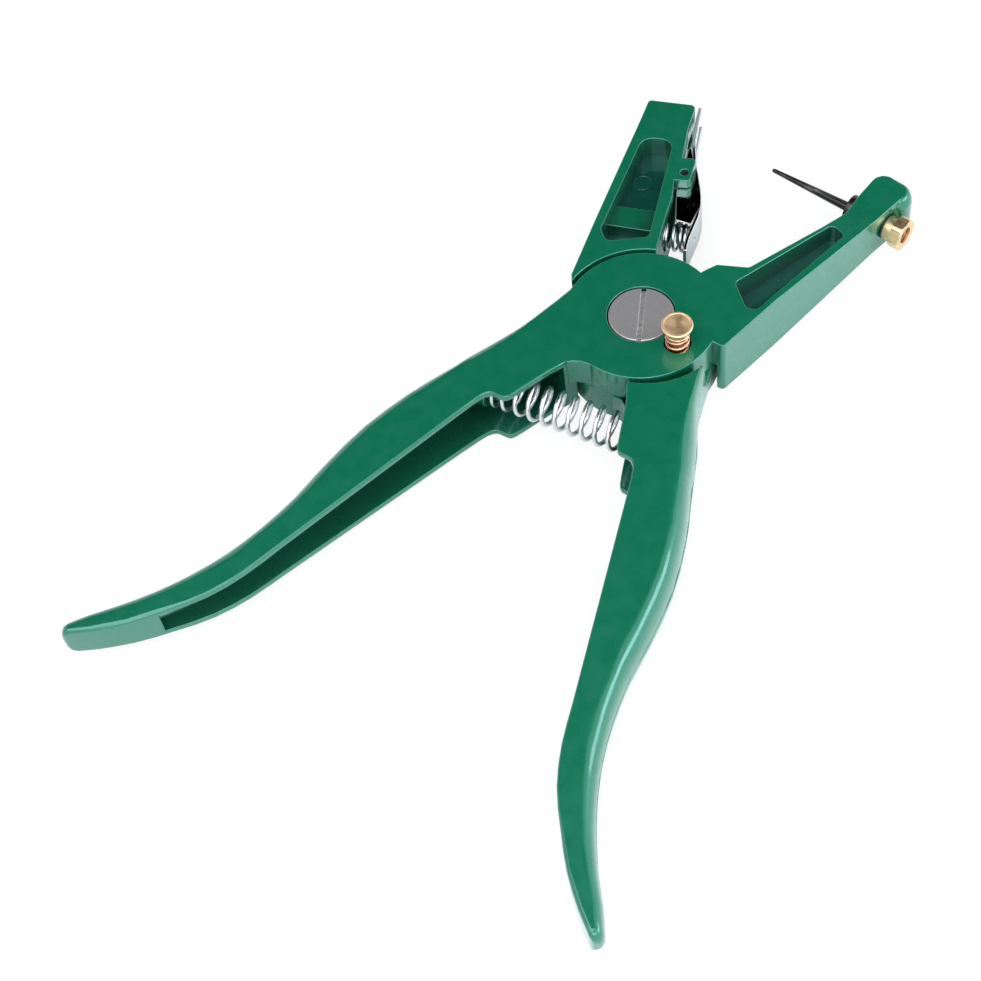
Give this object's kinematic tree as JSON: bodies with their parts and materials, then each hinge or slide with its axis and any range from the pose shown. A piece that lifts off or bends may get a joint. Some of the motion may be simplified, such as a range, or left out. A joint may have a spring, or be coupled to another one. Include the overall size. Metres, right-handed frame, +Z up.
{
  "type": "ear tag applicator",
  "caption": "Plier-type tool with two green cast levers, an open return spring, a needle on one jaw and a sprung clip on the other, for fixing tags in animal ears.",
  "frame": {"origin": "on the pivot axis, in the plane of the hub's underside", "axes": "+Z up along the pivot axis to the slotted screw head, +Y along the middle line towards the jaws, +X towards the needle jaw"},
  "size_m": [0.172, 0.2481, 0.0293],
  "materials": {
    "green_paint": "gloss",
    "screw_steel": "satin, fine specks",
    "spring_steel": "bright",
    "clip_chrome": "mirror",
    "brass": "turned",
    "copper_wire": "bright copper colour",
    "black_steel": "blackened, gloss"
  },
  "bodies": {
    "needle_side": {"pin_lever": "green_paint", "pivot_screw": "screw_steel", "pivot_washer": "spring_steel", "pivot_nut": "screw_steel", "return_spring": "spring_steel", "lock_spring": "copper_wire", "needle": "black_steel", "needle_ring": "black_steel", "needle_nut": "brass"},
    "clip_side": {"clip_lever": "green_paint", "clip_pin": "black_steel", "clip_spring": "spring_steel"},
    "clip": {"tag_clip": "clip_chrome"},
    "button": {"lock_button": "brass", "lock_collar": "spring_steel"}
  },
  "joints": [
    {"name": "handles", "type": "hinge", "parent": "needle_side", "child": "clip_side", "pos_m": [0, 0, 0.0105], "axis": [0, 0, -1], "range_deg": [0, 28], "stiffness_Nm_per_rad": 1.6, "springref_deg": -17.19, "deforming": ["return_spring"]},
    {"name": "clip_press", "type": "hinge", "parent": "clip_side", "child": "clip", "pos_m": [-0.01652, 0.05319, 0.0105], "axis": [0, 0, -1], "range_deg": [0, 7], "stiffness_Nm_per_rad": 0.1, "springref_deg": -17.19, "deforming": ["clip_spring"]},
    {"name": "button_press", "type": "slide", "parent": "needle_side", "child": "button", "axis": [0, 0, -1], "range_m": [0, 0.004], "stiffness_N_per_m": 200, "springref_m": -0.004, "deforming": ["lock_spring"]}
  ]
}
